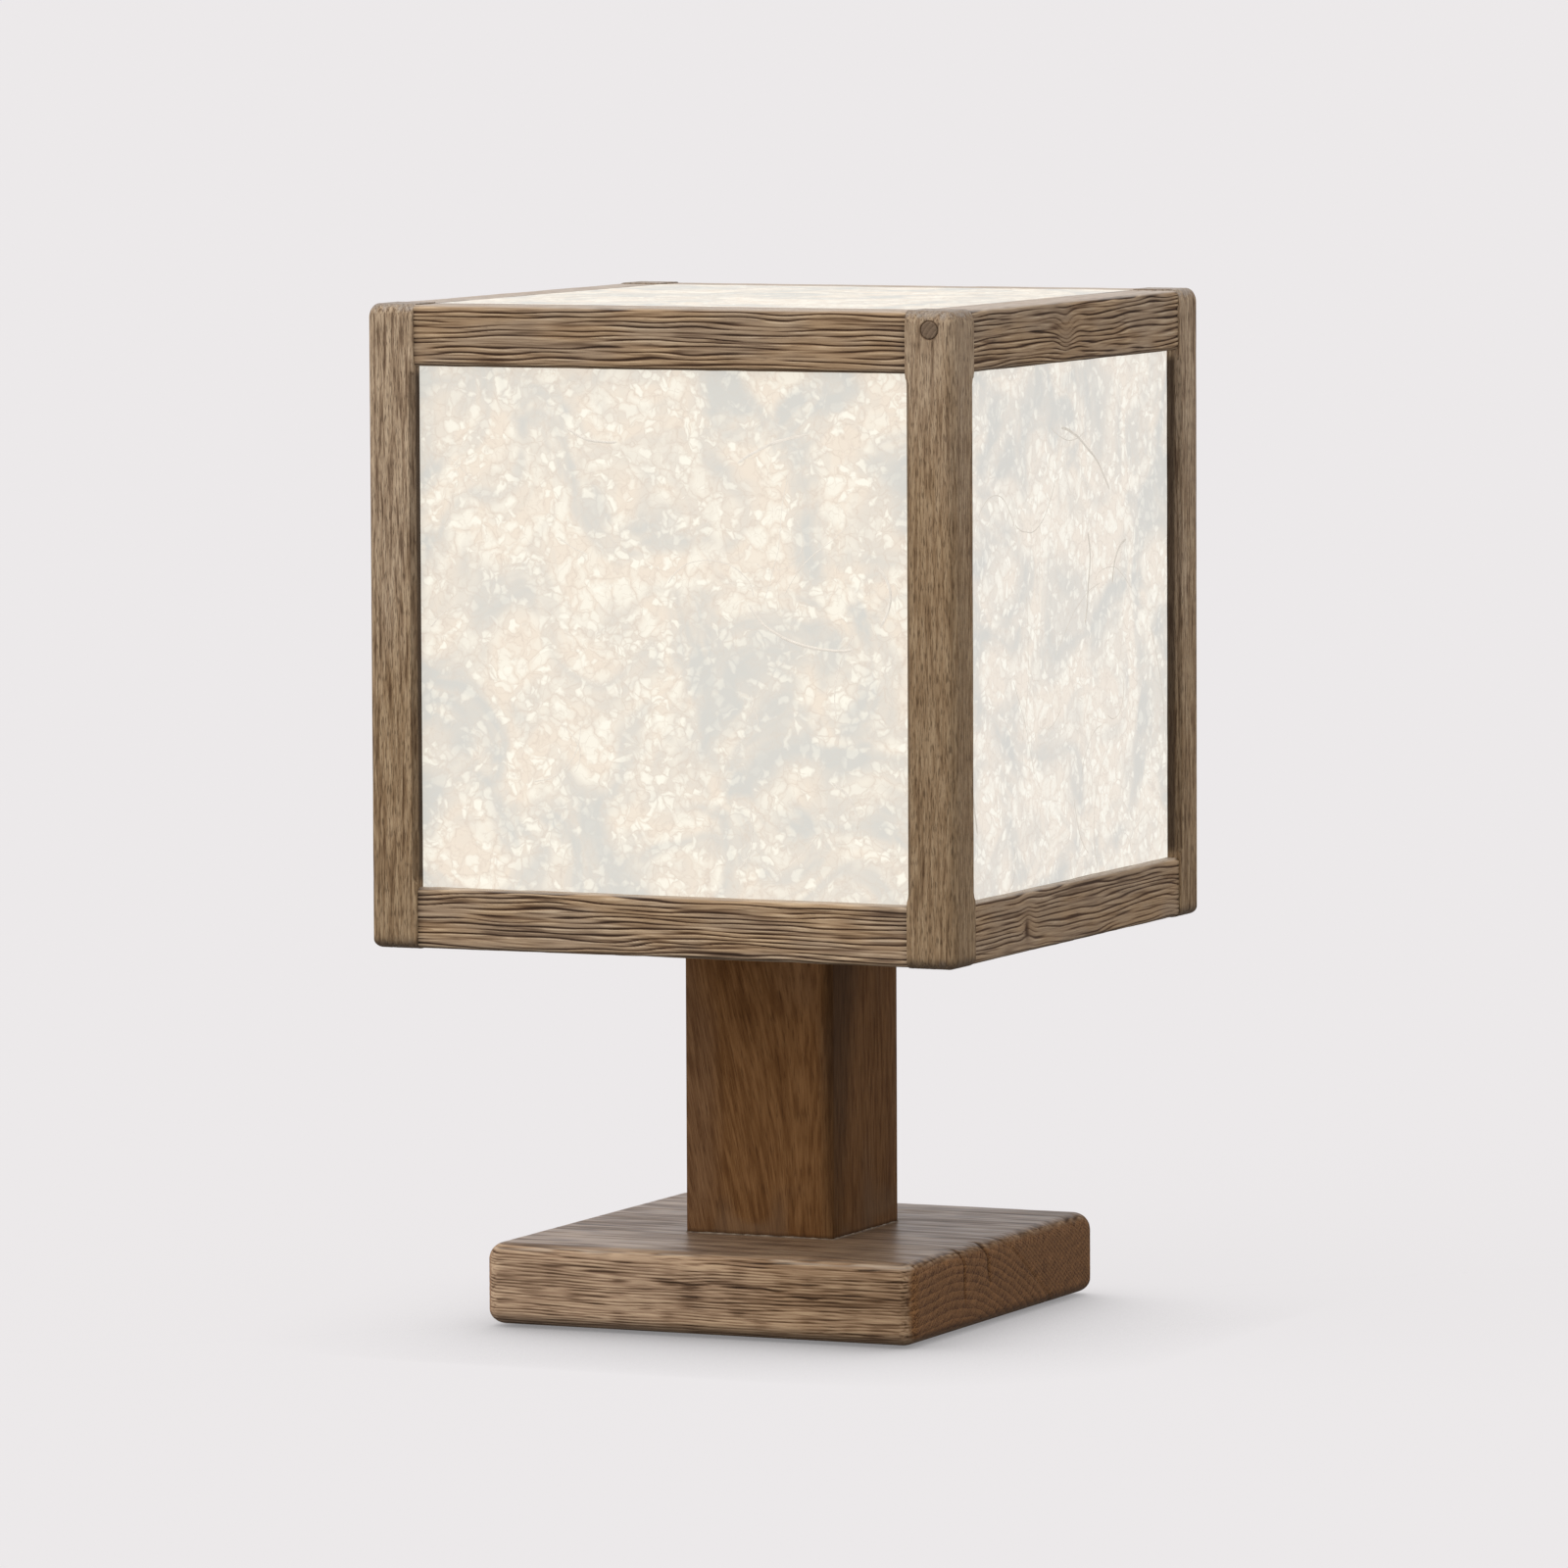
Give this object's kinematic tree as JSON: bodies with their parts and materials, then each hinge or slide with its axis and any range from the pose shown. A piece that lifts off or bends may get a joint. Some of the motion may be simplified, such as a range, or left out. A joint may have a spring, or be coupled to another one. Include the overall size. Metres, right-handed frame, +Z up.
{
  "type": "table lamp",
  "caption": "Square wooden lantern table lamp with paper panels in a frame of posts and rails, on a square stem and a square base with rounded edges.",
  "frame": {"origin": "middle of the underside, on the surface that the lamp stands on", "axes": "+Z up, -Y to the front, +X to the lamp's right as seen from the front"},
  "size_m": [0.3, 0.3, 0.4861],
  "materials": {
    "frame_oak": "brushed and weathered oak, matt",
    "stem_oak": "planed dark-stained oak, satin",
    "base_oak": "brushed and weathered oak with rounded edges, matt",
    "dowel_oak": "oak dowel, end grain showing",
    "inner_wood": "planed plain wood",
    "washi_paper": "fibrous handmade paper lit from behind",
    "zinc_steel": "zinc-plated steel",
    "brass": "plain brass",
    "solder_metal": "dull solder",
    "nickel_cap": "nickel-plated",
    "board_aluminium": "white-coated aluminium",
    "holder_plastic": "black moulded phenolic",
    "bush_plastic": "black moulded plastic",
    "white_ceramic": "unglazed white ceramic",
    "black_insulator": "black vitrite",
    "bulb_plastic": "white moulded plastic",
    "opal_globe": "opal diffuser, lit",
    "felt": "pressed felt"
  },
  "bodies": {
    "lamp": {"post_front_left": "frame_oak", "post_front_right": "frame_oak", "post_back_left": "frame_oak", "post_back_right": "frame_oak", "top_rail_front": "frame_oak", "bottom_rail_front": "frame_oak", "paper_front": "washi_paper", "cleat_front": "inner_wood", "top_rail_back": "frame_oak", "bottom_rail_back": "frame_oak", "paper_back": "washi_paper", "cleat_back": "inner_wood", "top_rail_left": "frame_oak", "bottom_rail_left": "frame_oak", "paper_left": "washi_paper", "cleat_left": "inner_wood", "top_rail_right": "frame_oak", "bottom_rail_right": "frame_oak", "paper_right": "washi_paper", "cleat_right": "inner_wood", "rail_dowels": "dowel_oak", "through_dowel": "dowel_oak", "stem_dowels": "dowel_oak", "cross_bar_across": "inner_wood", "cross_bar_along": "inner_wood", "cross_bar_screws": "zinc_steel", "lamp_rod": "zinc_steel", "base_washer": "zinc_steel", "base_nut": "zinc_steel", "frame_washer": "zinc_steel", "frame_nut": "zinc_steel", "stem": "stem_oak", "base": "base_oak", "base_felt": "felt", "cord_bush": "bush_plastic", "holder_cap": "holder_plastic", "holder_skirt": "holder_plastic", "holder_block": "white_ceramic", "holder_sleeve": "brass", "holder_contact": "brass"},
    "top_panel": {"paper_top": "washi_paper"},
    "bulb": {"bulb_tip": "solder_metal", "bulb_insulator": "black_insulator", "bulb_cap": "nickel_cap", "bulb_body": "bulb_plastic", "bulb_board": "board_aluminium", "bulb_globe": "opal_globe"}
  },
  "joints": [
    {"name": "top_panel_lift", "type": "slide", "parent": "lamp", "child": "top_panel", "axis": [0, 0, 1], "range_m": [0, 0.12]},
    {"name": "bulb_unscrew", "type": "hinge", "parent": "lamp", "child": "bulb", "pos_m": [0, 0, 0.25], "axis": [0, 0, 1], "range_deg": [0, 1440]}
  ]
}
